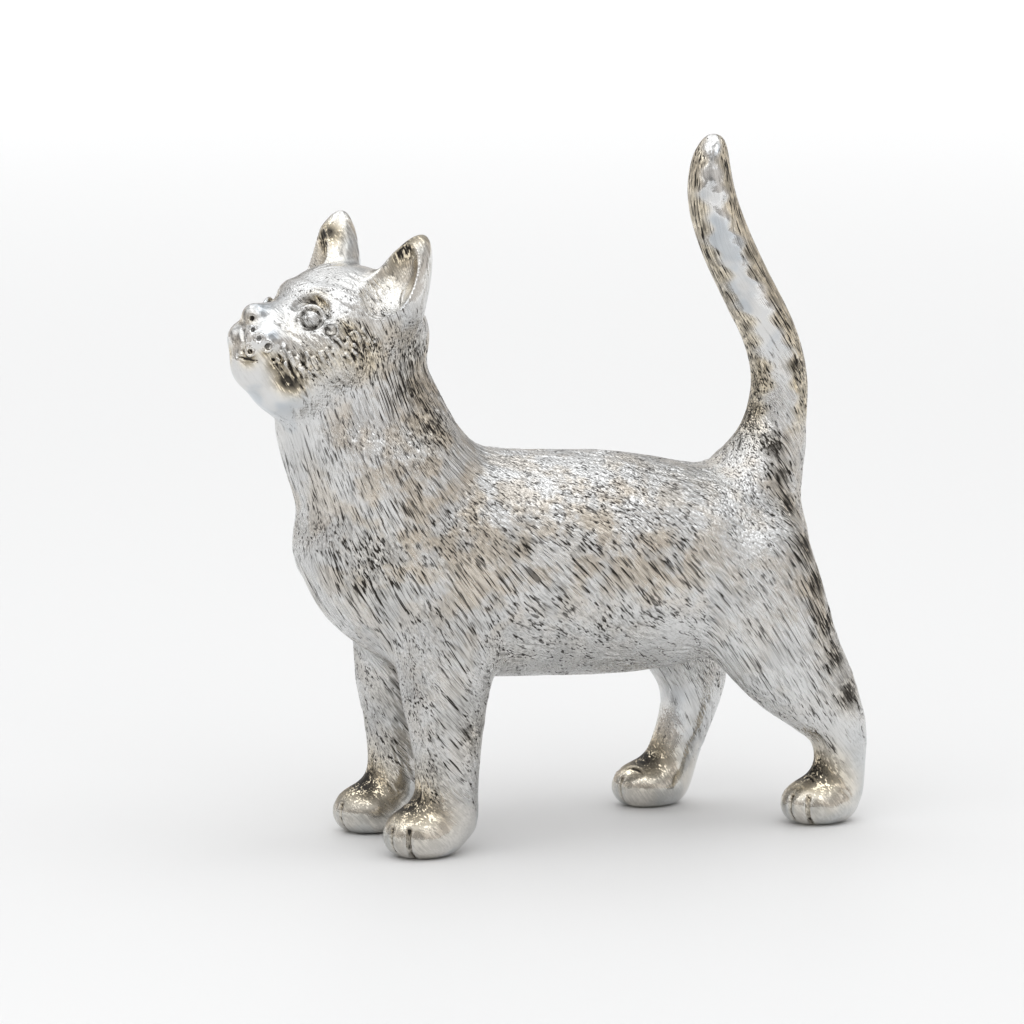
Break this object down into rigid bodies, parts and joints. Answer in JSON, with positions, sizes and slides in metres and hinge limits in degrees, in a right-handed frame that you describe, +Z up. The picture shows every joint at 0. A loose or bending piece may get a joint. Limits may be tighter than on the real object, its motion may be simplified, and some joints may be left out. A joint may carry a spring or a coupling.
{
  "type": "cat figurine",
  "caption": "Small standing cat figurine with raised tail and turned head, cast in metal, plated bright and engraved with fur strokes.",
  "frame": {"origin": "on the surface it stands on, under the middle of its bounding box", "axes": "+Z up; -X the way the body faces, from tail to chest; -Y the cat's left side"},
  "size_m": [0.0584, 0.0182, 0.0617],
  "materials": {
    "plating": "gloss"
  },
  "bodies": {
    "root": {"body_shell_left": "plating", "body_shell_right": "plating", "head": "plating", "tail": "plating", "foreleg_left": "plating", "foreleg_right": "plating", "hindleg_left": "plating", "hindleg_right": "plating"}
  },
  "joints": []
}
